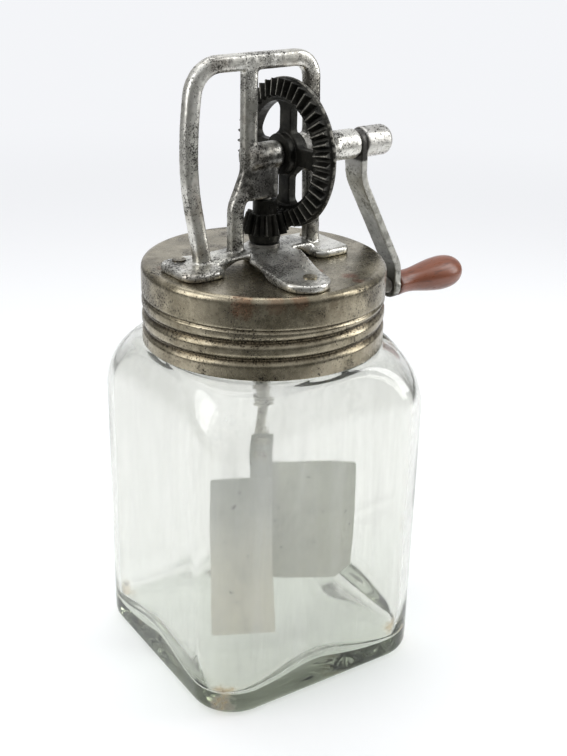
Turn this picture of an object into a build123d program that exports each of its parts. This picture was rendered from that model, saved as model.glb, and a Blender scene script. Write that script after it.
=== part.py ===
from build123d import *
import os
from math import acos, atan2, cos, pi, radians, sin, sqrt, tan

# A hand-cranked mixing jar: a square glass jar, a screw lid that carries a cast gear frame,
# a bevel gear pair turned by a crank, and a two-bladed dasher hanging in the jar.
# Millimetres. Z is up, the origin is the centre of the jar's base on the table, and +X runs
# along the crank shaft towards the crank. The frame's front foot points to -Y.

# ---------------------------------------------------------------- running fits and gaps
RUNNING = 0.05            # radial clearance of a shaft in its bore
SEAT_GAP = 0.3            # gap where a turning face runs against a fixed one

# ---------------------------------------------------------------- jar
JAR_SIDE = 101.2          # across the flats
JAR_CORNER = 18.1         # radius of the upright corners
JAR_WALL = 3.4
JAR_FLOOR = 6.5
JAR_TURN = -3.5           # the jar's flats stand this far off square to the crank shaft
JAR_FOOT_EDGE = 4.0       # rounding where the walls meet the base
SHOULDER_START = 110.0    # height where the walls begin to curve in
SHOULDER_RISE = 24.0
SHOULDER_SIDE_IN = 5.2    # how far the middle of a side comes in over the shoulder
SHOULDER_CORNER_IN = 13.0 # how far a corner comes in over the shoulder
SHOULDER_STEPS = 5
NECK_RADIUS = 42.8
NECK_WALL = 3.1
NECK_HEIGHT = 31.8        # shoulder to lip
NECK_SINK = 1.5           # how deep the neck is rooted in the shoulder
NECK_RING_STAND = 2.6     # how far the ring of glass just under the lid stands off the neck
NECK_RING_HEIGHT = 2.2
THREAD_PITCH = 6.7
JAR_THREAD_STAND = 1.5    # how far the glass thread stands off the neck
JAR_THREAD_WIDTH = 3.4
JAR_THREAD_TURNS = 1.25
JAR_THREAD_DROP = 4.0     # the thread's upper end under the lip

# ---------------------------------------------------------------- lid
LID_GAP = 1.8             # between the glass thread and the lid's wall
LID_SHEET = 0.9
LID_HEIGHT = 30.9
LID_EDGE = 2.6            # rolled edge of the top
LID_BAND = 12.2           # plain band between the top and the thread
LID_CREASE = 0.5          # depth of the crease under the plain band
LID_GROOVE_DEPTH = 1.1
LID_GROOVE_WIDTH = 3.0
LID_GROOVE_TURNS = 2.1
LID_GROOVE_FROM = -36.0   # direction of the thread's lower end, degrees from +X
LID_GROOVE_START = 2.4    # height of the thread's lower end over the rim

# ---------------------------------------------------------------- bevel gears
GEAR_TEETH = 42
PINION_TEETH = 12
GEAR_MODULE = 1.3
FACE_SHARE = 0.225        # tooth length as a share of the cone distance
PRESSURE_ANGLE = 20.0
GEAR_ADDENDUM = 1.4
PINION_ADDENDUM = 1.25
TIP_CLEARANCE = 0.3
GEAR_TOOTH_SHARE = 0.40   # tooth thickness as a share of the circular pitch
PINION_TOOTH_SHARE = 0.41
FLANK_POINTS = 4
ROOT_SINK = 0.4           # how deep a tooth is rooted in its blank
GEAR_RIM_STAND = 0.5      # how far the rim stands outside the pitch circle
GEAR_RIM_FACE = 0.9       # width of the rim's outer face
GEAR_RIM_BEVEL = 1.1      # from that face back to the web
GEAR_LEDGE_SLOPE = 0.7    # how far the ledge outside the teeth falls away
GEAR_RIM_LIP = 1.4        # how far the rim reaches in past the teeth
GEAR_WEB_THICK = 3.5
GEAR_HUB_RADIUS = 7.6
GEAR_PIN_IN = 1.45        # cross pin behind the hub's front face
SPOKE_WIDTH = 6.6
WINDOW_CORNER = 2.6
PINION_OVERRUN = 0.05     # the pinion's teeth run on past the gear's by this share
PINION_HUB_RADIUS = 4.6
PINION_BACK_RADIUS = 5.6
PINION_PIN_AT = 21.2      # height above the lid's top

# ---------------------------------------------------------------- shafts and frame
AXLE_HEIGHT = 39.6        # crank shaft above the lid's top
AXLE_RADIUS = 3.0
SPINDLE_RADIUS = 2.5
HOOP_HEIGHT = 74.2        # middle of the top bar above the lid's top
HOOP_MIDDLE = -4.0
HOOP_WIDTH = 6.0
HOOP_DEPTH = 5.6
HOOP_ROUND = 1.7
HOOP_LEFT_START = -20.9   # where the left corner leaves the top bar
HOOP_LEFT_ARCS = ((11.2, 82.0), (162.0, 8.0), (100.0, 10.5))    # corner, then bowed leg: radius, turn
HOOP_RIGHT_START = 12.8
HOOP_RIGHT_RADIUS = 7.5
HOOP_RIGHT_SWEEP = 88.2
HOOP_FOOT = 2.0           # the legs end at this height inside their pads
COLUMN_WIDTH = 5.8
COLUMN_DEPTH = 5.2
COLUMN_TOP_X = -7.8
COLUMN_FOOT_X = -13.4
COLUMN_BEND_TOP = 34.0
COLUMN_BEND_FOOT = 21.5
COLUMN_BEND_RADIUS = 10.0
BLOCK_LEFT = -9.0
BLOCK_RIGHT = 4.2
BLOCK_HALF_DEPTH = 3.7
BLOCK_BOTTOM = 24.0
INNER_BOSS_RADIUS = 5.2
INNER_BOSS_END = 5.3
AXLE_SOCKET_END = -6.0
SPINDLE_TOP = 34.0
OUTER_BOSS_RADIUS = 5.75
OUTER_BOSS_START = 14.3
OUTER_BOSS_END = 42.3
FLARE_START = 22.5
FLARE_RADIUS = 8.0
FLARE_RING = 1.5          # plain width at the widest
FLARE_END = 31.0
PAD_THICK = 3.0
BASE_TOP = 5.6
BASE_UNDER = 3.1
BASE_BOSS_RADIUS = 8.0
LEFT_PAD = (-41.3, -23.5, 12.0, 6.0)     # from x, to x, half width, corner radius
RIGHT_PAD = (17.0, 33.0, 13.0, 4.0)
LEFT_ARM_HALF = 6.0
RIGHT_ARM_HALF = 7.0
FRONT_PAD_CENTRE = (-7.0, -34.5)
FRONT_PAD_RADIUS = 9.3
FRONT_ARM_HALF = 11.5     # half width of the front arm at its root
FRONT_ARM_SKEW = 1.0      # its right side stands this much wider
FRONT_ARM_FALL = 0.3      # drop of its top from the base to the bend
LEFT_ARM = (3.5, 2.0, 0.8, 7.0)         # reach over the pad, bend before it, drop to the bend, slope beneath
RIGHT_ARM = (3.5, -1.0, 0.4, 4.0)
RIVET_RADIUS = 2.6
RIVET_SHANK = 1.8
RIVET_HEAD = 0.6
RIVETS = ((-5.0, -35.0), (-33.5, 7.5), (26.5, 8.0))

# ---------------------------------------------------------------- crank
CRANK_THROW = 62.3
CRANK_HUB_RADIUS = 6.0
CRANK_HUB_LENGTH = 16.3
CRANK_HUB_ROUND = 3.2
CRANK_NECK = 2.7
ARM_THICK = 3.0
ARM_TOP_WIDTH = 10.4
ARM_FOOT_WIDTH = 9.6
ARM_FOOT_RADIUS = 5.4
ARM_KNEE = 13.6           # where the arm starts to lean outwards, below the shaft
ARM_ANKLE = 53.2          # where it turns plumb again
ARM_BENDS = (18.0, 12.0)
ARM_OFFSET = 21.9         # how far the foot stands outside the hub
SHAFT_IN_HUB = 12.0

# ---------------------------------------------------------------- grip
GRIP_LENGTH = 38.5
GRIP_NECK_RADIUS = 4.8
GRIP_FLARE_RADIUS = 5.3
GRIP_BELLY_RADIUS = 7.5
GRIP_BELLY_AT = 0.72      # share of the length from the arm to the belly
GRIP_PIN_RADIUS = 1.9
GRIP_PIN_HEAD_RADIUS = 3.4
GRIP_PIN_HEAD = 1.2
GRIP_BORE_DEPTH = 30.0

# ---------------------------------------------------------------- dasher
BUSH_WALL = 1.85
BUSH_FLANGE_STAND = 1.6
BUSH_FLANGE = 1.2
BUSH_BELOW_LID = 7.0
SLEEVE_TOP = 109.7        # heights from here on are over the jar's floor
SLEEVE_LENGTH = 7.5
SLEEVE_RADIUS = 3.7
SLEEVE_GROOVE = 0.5
ROD_RADIUS = 2.0
ROD_TOP = 106.7
ROD_END = 15.2
RIGHT_BLADE_TOP = 73.2
RIGHT_BLADE_END = 18.2
RIGHT_BLADE_REACH = 38.4
RIGHT_BLADE_DIRECTION = -35.0
LEFT_BLADE_TOP = 67.2
LEFT_BLADE_HEIGHT = 66.0
LEFT_BLADE_WIDTH = 27.0
LEFT_BLADE_DIRECTION = 151.0
LEFT_BLADE_LEAN = 17.0    # the blade's foot swings forward by this angle
BLADE_SHEET = 1.0
BLADE_CORNER = 3.0
TANG_WIDTH = 7.0
TANG_TOP = 87.2
TANG_RIVETS = (84.2, 76.7)
TANG_RIVET_RADIUS = 0.9
PIN_RADIUS = 1.0          # cross pins of gear and pinion

# ---------------------------------------------------------------- heights worked out
SHOULDER_TOP = SHOULDER_START + SHOULDER_RISE
LIP = SHOULDER_TOP + NECK_HEIGHT
LID_TOP = LIP + LID_SHEET
AXLE_Z = LID_TOP + AXLE_HEIGHT
HANDLE_Z = AXLE_Z - CRANK_THROW
HUB_START = OUTER_BOSS_END + SEAT_GAP
LID_RADIUS = NECK_RADIUS + JAR_THREAD_STAND + LID_GAP + LID_SHEET
BUSH_RADIUS = SPINDLE_RADIUS + RUNNING + BUSH_WALL
BUSH_FLANGE_RADIUS = BUSH_RADIUS + BUSH_FLANGE_STAND
SHAFT_PLANE = Plane(origin=(0, 0, AXLE_Z), x_dir=(0, 1, 0), z_dir=(1, 0, 0))
PINION_PLANE = Plane(origin=(0, 0, AXLE_Z), x_dir=(1, 0, 0), z_dir=(0, 0, -1))


def above_lid(height):
    """Height over the table of a point this far over the lid's top."""
    return LID_TOP + height


def above_floor(height):
    """Height over the table of a point this far over the jar's floor."""
    return JAR_FLOOR + height


def save(piece, name):
    piece.part.label = name
    export_step(piece.part, f"parts/{name}.step")


# ================================================================ jar
def jar_section(rise, inset):
    """Side and corner radius of the rounded square, this far up the shoulder."""
    side_arc = (SHOULDER_RISE**2 + SHOULDER_SIDE_IN**2) / (2 * SHOULDER_SIDE_IN)
    corner_arc = (SHOULDER_RISE**2 + SHOULDER_CORNER_IN**2) / (2 * SHOULDER_CORNER_IN)
    half = JAR_SIDE / 2 - inset - (side_arc - sqrt(side_arc**2 - rise**2))
    diagonal = sqrt(2) * (JAR_SIDE / 2 - JAR_CORNER) + JAR_CORNER - inset
    diagonal -= corner_arc - sqrt(corner_arc**2 - rise**2)
    radius = (half * sqrt(2) - diagonal) / (sqrt(2) - 1)
    return 2 * half, radius


def jar_form(inset, bottom):
    """Square walls and curved shoulder as one solid, this far inside the outer skin."""
    with BuildPart() as form:
        side, radius = jar_section(0, inset)
        with BuildSketch(Plane.XY.offset(bottom)):
            RectangleRounded(side, side, radius)
        extrude(amount=SHOULDER_START - bottom)
        for step in range(SHOULDER_STEPS + 1):
            rise = SHOULDER_RISE * step / SHOULDER_STEPS
            side, radius = jar_section(rise, inset)
            with BuildSketch(Plane.XY.offset(SHOULDER_START + rise - inset * step / SHOULDER_STEPS)):
                RectangleRounded(side, side, radius)
        loft()
    return form


def helix_profile(path, width, depth, outward):
    """A shallow arched section across the start of a helix, for a thread or a groove."""
    start = path @ 0
    radial = Vector(start.X, start.Y, 0).normalized()
    sign = 1 if outward else -1
    with BuildSketch(Plane(origin=start, x_dir=radial, z_dir=path % 0)) as section:
        with BuildLine():
            ThreePointArc((-sign * ROOT_SINK, -width / 2), (sign * depth, 0), (-sign * ROOT_SINK, width / 2))
            Line((-sign * ROOT_SINK, width / 2), (-sign * ROOT_SINK, -width / 2))
        make_face()
    return section


os.makedirs("parts", exist_ok=True)
outer_form = jar_form(0, 0)
inner_form = jar_form(JAR_WALL, JAR_FLOOR)
thread_rise = THREAD_PITCH * JAR_THREAD_TURNS
jar_helix = Helix(THREAD_PITCH, thread_rise, NECK_RADIUS,
                  center=(0, 0, LIP - JAR_THREAD_DROP - thread_rise - JAR_THREAD_WIDTH / 2))
jar_thread_section = helix_profile(jar_helix, JAR_THREAD_WIDTH, JAR_THREAD_STAND, outward=True)

with BuildPart() as glass_jar:
    add(outer_form.part)
    fillet(glass_jar.faces().sort_by(Axis.Z)[0].edges(), JAR_FOOT_EDGE)
    with BuildSketch(Plane.XY.offset(SHOULDER_TOP - NECK_SINK)):
        Circle(NECK_RADIUS)
    extrude(amount=NECK_HEIGHT + NECK_SINK)
    with BuildSketch(Plane.XY.offset(SHOULDER_TOP - NECK_SINK)):
        Circle(NECK_RADIUS + NECK_RING_STAND)
    extrude(amount=NECK_RING_HEIGHT)
    fillet(glass_jar.edges().group_by(Axis.Z)[-1], NECK_WALL * 0.4)
    sweep(sections=jar_thread_section.sketch, path=jar_helix, is_frenet=True)
    add(inner_form.part, mode=Mode.SUBTRACT)
    with BuildSketch(Plane.XY.offset(SHOULDER_START)):
        Circle(NECK_RADIUS - NECK_WALL)
    extrude(amount=LIP - SHOULDER_START, mode=Mode.SUBTRACT)
glass_jar.part = glass_jar.part.rotate(Axis.Z, JAR_TURN)
save(glass_jar, "glass_jar")


# ================================================================ lid
def thread_tool(radius, width, depth, outward):
    """The lid's thread as a solid that stands in or out from this radius."""
    helix = Helix(THREAD_PITCH, THREAD_PITCH * LID_GROOVE_TURNS, radius,
                  center=(0, 0, above_lid(LID_GROOVE_START - LID_HEIGHT)))
    section = helix_profile(helix, width, depth, outward)
    with BuildPart() as tool:
        sweep(sections=section.sketch, path=helix, is_frenet=True)
    return tool


lid_inner = LID_RADIUS - LID_SHEET
lid_ridge = thread_tool(lid_inner, LID_GROOVE_WIDTH + LID_SHEET, LID_GROOVE_DEPTH, outward=False)
lid_groove = thread_tool(LID_RADIUS, LID_GROOVE_WIDTH, LID_GROOVE_DEPTH, outward=False)
with BuildPart() as screw_lid:
    with BuildSketch(Plane.XZ):
        with BuildLine():
            Polyline(
                (0, LID_TOP),
                (LID_RADIUS - LID_EDGE, LID_TOP),
            )
            RadiusArc((LID_RADIUS - LID_EDGE, LID_TOP), (LID_RADIUS, LID_TOP - LID_EDGE), LID_EDGE)
            Polyline(
                (LID_RADIUS, LID_TOP - LID_EDGE),
                (LID_RADIUS, above_lid(-LID_BAND) + LID_CREASE),
                (LID_RADIUS - LID_CREASE, above_lid(-LID_BAND)),
                (LID_RADIUS, above_lid(-LID_BAND) - LID_CREASE),
                (LID_RADIUS, above_lid(-LID_HEIGHT)),
                (0, above_lid(-LID_HEIGHT)),
                (0, LID_TOP),
            )
        make_face()
    revolve(axis=Axis.Z)
    with BuildSketch(Plane.XY.offset(above_lid(-LID_HEIGHT))):
        Circle(lid_inner)
    extrude(amount=LID_HEIGHT - LID_SHEET, mode=Mode.SUBTRACT)
    inner_corner = screw_lid.edges().filter_by(GeomType.CIRCLE).filter_by_position(Axis.Z, LIP, LIP)
    fillet(inner_corner, LID_EDGE - LID_SHEET)
    add(lid_ridge.part, rotation=(0, 0, LID_GROOVE_FROM))
    add(lid_groove.part, rotation=(0, 0, LID_GROOVE_FROM), mode=Mode.SUBTRACT)
    with BuildSketch(Plane.XY.offset(LIP)):
        Circle(BUSH_RADIUS)
        with Locations(*RIVETS):
            Circle(RIVET_SHANK)
    extrude(amount=LID_SHEET, mode=Mode.SUBTRACT)
save(screw_lid, "screw_lid")


# ================================================================ bevel gears
def involute(angle):
    return tan(angle) - angle


def tooth_outline(pitch_radius, cone_angle, thick_share, addendum, dedendum, scale):
    """Corner points of one tooth seen along the cone, as (sideways, outwards)."""
    rolled = pitch_radius / cos(cone_angle)
    base = rolled * cos(radians(PRESSURE_ANGLE))
    half_tooth = thick_share * pi * GEAR_MODULE / 2 / rolled
    half_tooth += involute(radians(PRESSURE_ANGLE))
    low = rolled - dedendum - ROOT_SINK
    high = rolled + addendum
    foot = max(base, rolled - dedendum)
    radii = [foot + (high - foot) * step / FLANK_POINTS for step in range(FLANK_POINTS + 1)]
    if low < foot:
        radii.insert(0, low)
    side = []
    for radius in radii:
        turn = half_tooth - involute(acos(min(1.0, base / radius)))
        side.append((radius * sin(turn) * scale, (radius * cos(turn) - rolled) * scale))
    return side + [(-x, y) for x, y in reversed(side)]


def bevel_teeth(count, mate, thick_share, addendum, dedendum, outer_scale):
    """All teeth of a bevel gear whose cone's tip is the origin and whose back is at +Z."""
    cone_angle = atan2(count, mate)
    pitch_radius = count * GEAR_MODULE / 2
    depth = pitch_radius / tan(cone_angle)
    sections = []
    for scale in (outer_scale, 1 - FACE_SHARE):
        plane = Plane(
            origin=(pitch_radius * scale, 0, depth * scale),
            x_dir=(0, -1, 0),
            z_dir=(sin(cone_angle), 0, cos(cone_angle)),
        )
        with BuildSketch(plane) as section:
            with BuildLine():
                Polyline(
                    *tooth_outline(pitch_radius, cone_angle, thick_share, addendum, dedendum, scale),
                    close=True,
                )
            make_face()
        sections.append(section.sketch.face())
    with BuildPart() as tooth:
        loft(sections=sections, ruled=True)
    with BuildPart() as teeth:
        with PolarLocations(0, count):
            add(tooth.part)
    return teeth


def root_point(count, mate, dedendum, scale):
    """Radius and distance from the cone's tip, on the floor of the tooth gaps."""
    cone_angle = atan2(count, mate)
    pitch_radius = count * GEAR_MODULE / 2
    depth = pitch_radius / tan(cone_angle)
    return (
        (pitch_radius - dedendum * cos(cone_angle)) * scale,
        (depth + dedendum * sin(cone_angle)) * scale,
    )


gear_dedendum = PINION_ADDENDUM + TIP_CLEARANCE
pinion_dedendum = GEAR_ADDENDUM + TIP_CLEARANCE

gear_teeth = bevel_teeth(GEAR_TEETH, PINION_TEETH, GEAR_TOOTH_SHARE, GEAR_ADDENDUM, gear_dedendum, 1.0)
gear_root_outer = root_point(GEAR_TEETH, PINION_TEETH, gear_dedendum, 1.0)
gear_root_inner = root_point(GEAR_TEETH, PINION_TEETH, gear_dedendum, 1 - FACE_SHARE)
gear_rim_radius = GEAR_TEETH * GEAR_MODULE / 2 + GEAR_RIM_STAND
gear_rim_inner = gear_root_inner[0] - GEAR_RIM_LIP
gear_ledge = gear_root_outer[1] + GEAR_LEDGE_SLOPE
gear_web_back = gear_ledge + GEAR_RIM_FACE + GEAR_RIM_BEVEL
gear_hub_front = INNER_BOSS_END + SEAT_GAP
gear_hub_back = OUTER_BOSS_START - SEAT_GAP
gear_pin_at = gear_hub_front + GEAR_PIN_IN
with BuildPart() as gear_form:
    with BuildSketch(Plane.XZ):
        with BuildLine():
            Polyline(
                (gear_rim_inner, gear_root_inner[1]),
                gear_root_inner,
                gear_root_outer,
                (gear_rim_radius, gear_ledge),
                (gear_rim_radius, gear_ledge + GEAR_RIM_FACE),
                (gear_rim_radius - GEAR_RIM_BEVEL, gear_web_back),
                (gear_rim_inner, gear_web_back),
                close=True,
            )
        make_face()
    revolve(axis=Axis.Z)
    with BuildSketch(Plane.XY.offset(gear_web_back - GEAR_WEB_THICK)):
        Circle(gear_rim_inner + ROOT_SINK)
        with BuildSketch(mode=Mode.SUBTRACT):
            Circle(gear_rim_inner)
            Circle(GEAR_HUB_RADIUS + 1, mode=Mode.SUBTRACT)
            Rectangle(2 * gear_rim_radius, SPOKE_WIDTH, mode=Mode.SUBTRACT)
            Rectangle(SPOKE_WIDTH, 2 * gear_rim_radius, mode=Mode.SUBTRACT)
            fillet(vertices(), WINDOW_CORNER)
    extrude(amount=GEAR_WEB_THICK)
    with BuildSketch(Plane.XY.offset(gear_hub_front)):
        Circle(GEAR_HUB_RADIUS)
    extrude(amount=gear_hub_back - gear_hub_front)
    add(gear_teeth.part)
    with BuildSketch(Plane.XY.offset(gear_hub_front)):
        Circle(AXLE_RADIUS)
    extrude(amount=gear_hub_back - gear_hub_front, mode=Mode.SUBTRACT)
    with BuildSketch(Plane.XZ):
        with Locations((0, gear_pin_at)):
            Circle(PIN_RADIUS)
    extrude(amount=GEAR_HUB_RADIUS + 1, both=True, mode=Mode.SUBTRACT)
with BuildPart() as drive_gear:
    with Locations(SHAFT_PLANE.location):
        add(gear_form.part)
save(drive_gear, "drive_gear")

with BuildPart() as gear_pin:
    with BuildSketch(Plane.XY.offset(AXLE_Z)):
        with Locations((gear_pin_at, 0)):
            Circle(PIN_RADIUS)
    extrude(amount=GEAR_HUB_RADIUS, both=True)
save(gear_pin, "gear_pin")

pinion_teeth = bevel_teeth(PINION_TEETH, GEAR_TEETH, PINION_TOOTH_SHARE, PINION_ADDENDUM,
                           pinion_dedendum, 1 + PINION_OVERRUN)
pinion_root_outer = root_point(PINION_TEETH, GEAR_TEETH, pinion_dedendum, 1 + PINION_OVERRUN)
pinion_root_inner = root_point(PINION_TEETH, GEAR_TEETH, pinion_dedendum, 1 - FACE_SHARE)
pinion_top = AXLE_HEIGHT - BLOCK_BOTTOM + SEAT_GAP
pinion_bottom = AXLE_HEIGHT - BASE_TOP - BUSH_FLANGE - SEAT_GAP
with BuildPart() as pinion_form:
    with BuildSketch(Plane.XZ):
        with BuildLine():
            Polyline(
                (SPINDLE_RADIUS, pinion_top),
                (PINION_HUB_RADIUS, pinion_top),
                (PINION_HUB_RADIUS, pinion_root_inner[1]),
                pinion_root_inner,
                pinion_root_outer,
                (PINION_BACK_RADIUS, pinion_bottom),
                (SPINDLE_RADIUS, pinion_bottom),
                close=True,
            )
        make_face()
    revolve(axis=Axis.Z)
    add(pinion_teeth.part)
    with BuildSketch(Plane.XZ):
        with Locations((0, AXLE_HEIGHT - PINION_PIN_AT)):
            Circle(PIN_RADIUS)
    extrude(amount=PINION_HUB_RADIUS + 1, both=True, mode=Mode.SUBTRACT)
with BuildPart() as pinion_gear:
    with Locations(PINION_PLANE.location):
        add(pinion_form.part)
save(pinion_gear, "pinion_gear")

with BuildPart() as pinion_pin:
    with BuildSketch(Plane.XZ):
        with Locations((0, above_lid(PINION_PIN_AT))):
            Circle(PIN_RADIUS)
    extrude(amount=PINION_HUB_RADIUS, both=True)
save(pinion_pin, "pinion_pin")


# ================================================================ gear frame
def side_profile(points, half_width):
    """A solid from an outline in the XZ plane (heights over the lid), this wide to both sides."""
    with BuildPart() as solid:
        with BuildSketch(Plane.XZ):
            with BuildLine():
                Polyline(*[(x, above_lid(height)) for x, height in points], close=True)
            make_face()
        extrude(amount=half_width, both=True)
    return solid


def side_pad(pad, edge_round):
    """A rounded rectangular pad on the lid."""
    start, end, half_width, corner = pad
    with BuildPart() as solid:
        with BuildSketch(Plane.XY.offset(LID_TOP)):
            with Locations(((start + end) / 2, 0)):
                RectangleRounded(end - start, 2 * half_width, corner)
        extrude(amount=PAD_THICK)
        fillet(solid.faces().sort_by(Axis.Z)[-1].edges(), edge_round)
    return solid


def side_arm(edge, inward, arm, half_width):
    """An arm from the middle of the base down to the pad that ends at this x."""
    reach, bend, drop, slope = arm
    return side_profile(
        [(edge - inward * reach, 0), (edge - inward * reach, PAD_THICK),
         (edge + inward * bend, BASE_TOP - drop), (0, BASE_TOP), (0, BASE_UNDER),
         (edge + inward * slope, BASE_UNDER), (edge, 0)],
        half_width,
    )


pad_edge = PAD_THICK / 3
left_pad = side_pad(LEFT_PAD, pad_edge)
right_pad = side_pad(RIGHT_PAD, pad_edge)
left_arm = side_arm(LEFT_PAD[1], 1, LEFT_ARM, LEFT_ARM_HALF)
right_arm = side_arm(RIGHT_PAD[0], -1, RIGHT_ARM, RIGHT_ARM_HALF)
front_x, front_y = FRONT_PAD_CENTRE
front_tip = front_y - FRONT_PAD_RADIUS
with BuildPart() as front_foot:
    with BuildSketch(Plane.XY.offset(LID_TOP)):
        with BuildLine():
            Polyline(
                (front_x - FRONT_PAD_RADIUS, front_y),
                (front_x / 2 - FRONT_ARM_HALF, -FRONT_ARM_HALF),
                (-FRONT_ARM_HALF / 2, 0),
                (FRONT_ARM_HALF / 2, 0),
                (front_x / 2 + FRONT_ARM_HALF + FRONT_ARM_SKEW, -FRONT_ARM_HALF),
                (front_x + FRONT_PAD_RADIUS, front_y),
            )
            ThreePointArc((front_x + FRONT_PAD_RADIUS, front_y), (front_x, front_tip),
                          (front_x - FRONT_PAD_RADIUS, front_y))
        make_face()
    extrude(amount=BASE_TOP)
    with BuildSketch(Plane.YZ):
        with BuildLine():
            Polyline(
                (0, above_lid(BASE_TOP)), (-FRONT_ARM_HALF, above_lid(BASE_TOP - FRONT_ARM_FALL)),
                (front_y + FRONT_PAD_RADIUS / 2, above_lid(PAD_THICK)), (front_tip, above_lid(PAD_THICK)),
                (front_tip, LID_TOP), (front_y + FRONT_PAD_RADIUS, LID_TOP),
                (front_y / 2, above_lid(BASE_UNDER)), (0, above_lid(BASE_UNDER)), close=True,
            )
        make_face()
    extrude(amount=LID_RADIUS, both=True, mode=Mode.INTERSECT)

bar_plane_left = Plane(origin=(HOOP_MIDDLE, 0, above_lid(HOOP_HEIGHT)), x_dir=(0, 1, 0), z_dir=(-1, 0, 0))
bar_plane_right = Plane(origin=(HOOP_MIDDLE, 0, above_lid(HOOP_HEIGHT)), x_dir=(0, 1, 0), z_dir=(1, 0, 0))


def arc_end(start, heading, radius, turn):
    """Where an arc in the XZ plane ends, and its heading there; a positive turn is anticlockwise."""
    side = 1 if turn > 0 else -1
    left = heading + 90 * side
    centre = (start[0] + radius * cos(radians(left)), start[1] + radius * sin(radians(left)))
    back = left + 180 + turn
    end = (centre[0] + radius * cos(radians(back)), centre[1] + radius * sin(radians(back)))
    return end, heading + turn


def hoop_side(bar_end, arcs, plane):
    """One half of the hoop: from the middle of the top bar round the corner and down to the foot."""
    with BuildPart() as half:
        with BuildLine(Plane.XZ) as path:
            point = (bar_end, above_lid(HOOP_HEIGHT))
            heading = 180 if bar_end < HOOP_MIDDLE else 0
            Line((HOOP_MIDDLE, above_lid(HOOP_HEIGHT)), point)
            for radius, turn in arcs:
                JernArc(point, (cos(radians(heading)), sin(radians(heading))), radius, turn)
                point, heading = arc_end(point, heading, radius, turn)
            drop = point[1] - above_lid(HOOP_FOOT)
            Line(point, (point[0] - drop / tan(radians(heading)), above_lid(HOOP_FOOT)))
        with BuildSketch(plane):
            RectangleRounded(HOOP_DEPTH, HOOP_WIDTH, HOOP_ROUND)
        sweep(path=path.line)
    return half


left_hoop = hoop_side(HOOP_LEFT_START, HOOP_LEFT_ARCS, bar_plane_left)
right_hoop = hoop_side(HOOP_RIGHT_START, ((HOOP_RIGHT_RADIUS, -HOOP_RIGHT_SWEEP),), bar_plane_right)
with BuildPart() as column:
    with BuildLine(Plane.XZ) as column_path:
        FilletPolyline(
            (COLUMN_TOP_X, above_lid(HOOP_HEIGHT)),
            (COLUMN_TOP_X, above_lid(COLUMN_BEND_TOP)),
            (COLUMN_FOOT_X, above_lid(COLUMN_BEND_FOOT)),
            (COLUMN_FOOT_X, above_lid((BASE_UNDER + BASE_TOP) / 2)),
            radius=COLUMN_BEND_RADIUS,
        )
    with BuildSketch(Plane((COLUMN_TOP_X, 0, above_lid(HOOP_HEIGHT)), x_dir=(1, 0, 0), z_dir=(0, 0, -1))):
        RectangleRounded(COLUMN_WIDTH, COLUMN_DEPTH, HOOP_ROUND)
    sweep(path=column_path.line)
with BuildPart() as block:
    with BuildSketch(Plane.XY.offset(above_lid(BLOCK_BOTTOM))):
        with Locations(((BLOCK_LEFT + BLOCK_RIGHT) / 2, 0)):
            RectangleRounded(BLOCK_RIGHT - BLOCK_LEFT, 2 * BLOCK_HALF_DEPTH, HOOP_ROUND)
    extrude(amount=AXLE_HEIGHT - BLOCK_BOTTOM)
with BuildPart() as bosses:
    with BuildSketch(Plane(origin=(BLOCK_LEFT, 0, AXLE_Z), x_dir=(0, 1, 0), z_dir=(1, 0, 0))):
        Circle(INNER_BOSS_RADIUS)
    extrude(amount=INNER_BOSS_END - BLOCK_LEFT)
    with BuildSketch(Plane.XZ.shift_origin((0, 0, AXLE_Z))):
        with BuildLine():
            Polyline(
                (OUTER_BOSS_START, 0), (OUTER_BOSS_START, OUTER_BOSS_RADIUS), (FLARE_START, FLARE_RADIUS),
                (FLARE_START + FLARE_RING, FLARE_RADIUS), (FLARE_END, OUTER_BOSS_RADIUS),
                (OUTER_BOSS_END, OUTER_BOSS_RADIUS), (OUTER_BOSS_END, 0), close=True,
            )
        make_face()
    revolve(axis=Axis((0, 0, AXLE_Z), (1, 0, 0)))

with BuildPart() as gear_frame:
    with BuildSketch(Plane.XY.offset(LID_TOP)):
        Circle(BASE_BOSS_RADIUS)
    extrude(amount=BASE_TOP)
    for piece in (left_arm, right_arm, left_pad, right_pad, front_foot, left_hoop, right_hoop,
                  column, block, bosses):
        add(piece.part)
    with BuildSketch(SHAFT_PLANE.offset(AXLE_SOCKET_END)):
        Circle(AXLE_RADIUS + RUNNING)
    extrude(amount=OUTER_BOSS_END - AXLE_SOCKET_END, mode=Mode.SUBTRACT)
    with BuildSketch(Plane.XY.offset(above_lid(BLOCK_BOTTOM))):
        Circle(SPINDLE_RADIUS + RUNNING)
    extrude(amount=SPINDLE_TOP + SEAT_GAP - BLOCK_BOTTOM, mode=Mode.SUBTRACT)
    with BuildSketch(Plane.XY.offset(LID_TOP)):
        Circle(BUSH_RADIUS)
        with Locations(*RIVETS):
            Circle(RIVET_SHANK)
    extrude(amount=BASE_TOP, mode=Mode.SUBTRACT)
save(gear_frame, "gear_frame")

with BuildPart() as foot_rivets:
    for bottom, top, radius in (
        (LIP - RIVET_HEAD, LIP, RIVET_RADIUS),
        (LIP, above_lid(PAD_THICK), RIVET_SHANK),
        (above_lid(PAD_THICK), above_lid(PAD_THICK) + RIVET_HEAD, RIVET_RADIUS),
    ):
        with BuildSketch(Plane.XY.offset(bottom)):
            with Locations(*RIVETS):
                Circle(radius)
        extrude(amount=top - bottom)
save(foot_rivets, "foot_rivets")


# ================================================================ turned pieces
def turned(points):
    """A solid of revolution about Z from (radius, height over the table) corners."""
    with BuildPart() as solid:
        with BuildSketch(Plane.XZ):
            with BuildLine():
                Polyline(*points, close=True)
            make_face()
        revolve(axis=Axis.Z)
    return solid


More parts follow.
